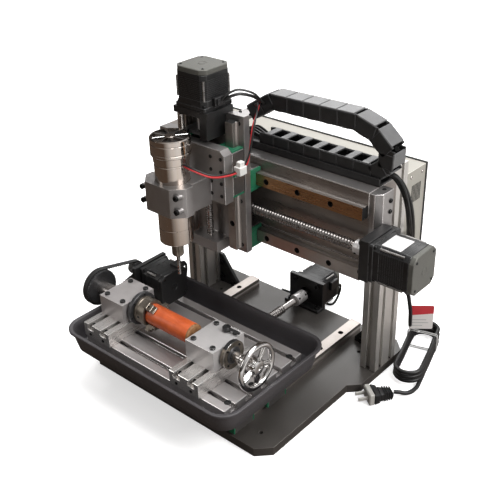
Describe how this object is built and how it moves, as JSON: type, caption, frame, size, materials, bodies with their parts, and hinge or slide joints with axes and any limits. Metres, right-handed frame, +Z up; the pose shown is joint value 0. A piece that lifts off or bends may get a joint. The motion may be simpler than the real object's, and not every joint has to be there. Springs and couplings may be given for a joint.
{
  "type": "cnc router",
  "caption": "Bench-top gantry CNC router with a ball-screw table, a cutting spindle, a rotary axis with tailstock, a drip tray and a rear controller box.",
  "frame": {"origin": "centre of the base plate's underside, at the surface the machine stands on", "axes": "+X to the machine's right along the beam, +Y to the back, +Z up"},
  "size_m": [0.553, 0.5, 0.53],
  "materials": {
    "base_paint": "dark grey-brown satin paint",
    "rail_steel": "ground steel",
    "black_paint": "black anodised or painted, satin",
    "motor_black": "black motor paint over stacked steel",
    "motor_cap": "olive grey cast cap",
    "clear_aluminium": "clear anodised extrusion",
    "beam_aluminium": "clear anodised, reflecting a dark room",
    "chain_plastic": "moulded nylon",
    "cord_jacket": "black cord jacket",
    "case_paint": "pale beige powder coat",
    "panel_paint": "black powder coat",
    "tag_card": "coated card",
    "runner_steel": "ground steel block",
    "plate_aluminium": "milled and bead blasted",
    "tray_plastic": "charcoal moulding",
    "milled_aluminium": "milled",
    "belt_rubber": "toothed belt",
    "screw_steel": "rolled thread, ground",
    "spindle_chrome": "polished",
    "wire_jacket": "red wire jacket",
    "tool_steel": "oiled steel",
    "pulley_black": "black oxide",
    "pulley_steel": "turned",
    "orange_work": "painted orange, bare at its end",
    "wheel_chrome": "polished"
  },
  "bodies": {
    "frame": {"base_plate": "base_paint", "y_rails": "rail_steel", "y_bearing": "black_paint", "y_motor_mount": "black_paint", "y_motor": "motor_black", "y_motor_cap": "motor_cap", "column_left": "clear_aluminium", "column_right": "clear_aluminium", "gussets": "black_paint", "x_beam": "beam_aluminium", "x_end_block": "beam_aluminium", "x_rails": "rail_steel", "x_bearing": "black_paint", "x_motor_mount": "black_paint", "x_motor": "motor_black", "x_motor_cap": "motor_cap", "chain_channel": "black_paint", "drag_chain": "chain_plastic", "chain_cables": "cord_jacket", "controller_box": "case_paint", "controller_panel": "panel_paint", "mains_cord": "cord_jacket", "cord_hank": "cord_jacket", "mains_plug": "cord_jacket", "hang_tag": "tag_card"},
    "y_table": {"y_runners": "runner_steel", "saddle": "plate_aluminium", "tray": "tray_plastic", "table": "plate_aluminium", "risers": "clear_aluminium", "headstock": "milled_aluminium", "tailstock": "milled_aluminium", "a_motor_mount": "black_paint", "a_motor": "motor_black", "a_belt": "belt_rubber"},
    "y_screw": {"y_screw": "screw_steel"},
    "x_screw": {"x_screw": "screw_steel"},
    "x_carriage": {"x_runners": "runner_steel", "x_plate": "plate_aluminium", "z_rails": "rail_steel", "z_motor_mount": "black_paint", "z_motor": "motor_black", "z_motor_cap": "motor_cap"},
    "z_screw": {"z_screw": "screw_steel"},
    "z_carriage": {"z_runners": "runner_steel", "z_plate": "plate_aluminium", "clamp_front": "plate_aluminium", "spindle_body": "spindle_chrome", "fan_cap": "spindle_chrome", "spindle_wires": "wire_jacket"},
    "spindle_rotor": {"collet_nut": "tool_steel", "cutter": "tool_steel"},
    "head_spindle": {"head_spindle": "pulley_black", "chuck": "tool_steel", "workpiece": "orange_work"},
    "a_pulley": {"a_pulley": "pulley_steel"},
    "tail_quill": {"tail_quill": "screw_steel"},
    "handwheel": {"handwheel": "wheel_chrome"},
    "lock_lever": {"lock_lever": "black_paint"}
  },
  "joints": [
    {"name": "y_slide", "type": "slide", "parent": "frame", "child": "y_table", "axis": [0, 1, 0], "range_m": [0, 0.13]},
    {"name": "y_screw_turn", "type": "hinge", "parent": "frame", "child": "y_screw", "pos_m": [0, 0, 0.04], "axis": [0, 1, 0], "range_deg": [0, 9361]},
    {"name": "x_slide", "type": "slide", "parent": "frame", "child": "x_carriage", "axis": [1, 0, 0], "range_m": [-0.09, 0.15], "deforming": ["drag_chain"]},
    {"name": "x_screw_turn", "type": "hinge", "parent": "frame", "child": "x_screw", "pos_m": [0, -0.009, 0.3], "axis": [1, 0, 0], "range_deg": [-6481, 10801]},
    {"name": "z_slide", "type": "slide", "parent": "x_carriage", "child": "z_carriage", "axis": [0, 0, 1], "range_m": [-0.05, 0.003], "deforming": ["spindle_wires"]},
    {"name": "z_screw_turn", "type": "hinge", "parent": "x_carriage", "child": "z_screw", "pos_m": [-0.026, -0.047, 0.3], "axis": [0, 0, 1], "range_deg": [-3601, 217]},
    {"name": "spindle_spin", "type": "hinge", "parent": "z_carriage", "child": "spindle_rotor", "pos_m": [-0.026, -0.12, 0.26], "axis": [0, 0, 1], "continuous": true},
    {"name": "a_axis_turn", "type": "hinge", "parent": "y_table", "child": "head_spindle", "pos_m": [-0.12, -0.152, 0.138], "axis": [1, 0, 0], "continuous": true},
    {"name": "a_pulley_turn", "type": "hinge", "parent": "y_table", "child": "a_pulley", "pos_m": [-0.19, -0.072, 0.138], "axis": [1, 0, 0], "continuous": true},
    {"name": "quill_slide", "type": "slide", "parent": "y_table", "child": "tail_quill", "axis": [1, 0, 0], "range_m": [0, 0.008]},
    {"name": "handwheel_turn", "type": "hinge", "parent": "tail_quill", "child": "handwheel", "pos_m": [0.158, -0.152, 0.138], "axis": [1, 0, 0], "range_deg": [0, 1441]},
    {"name": "lock_turn", "type": "hinge", "parent": "y_table", "child": "lock_lever", "pos_m": [0.08, -0.13, 0.155], "axis": [0, 0, 1], "range_deg": [0, 80]}
  ],
  "couplings": [
    {"joint": "y_screw_turn", "follows": "y_slide", "rad_per_m": 1256.6},
    {"joint": "x_screw_turn", "follows": "x_slide", "rad_per_m": 1256.6},
    {"joint": "z_screw_turn", "follows": "z_slide", "rad_per_m": 1256.6},
    {"joint": "a_pulley_turn", "follows": "a_axis_turn", "ratio": 2.5833},
    {"joint": "handwheel_turn", "follows": "quill_slide", "rad_per_m": 3141.6}
  ]
}
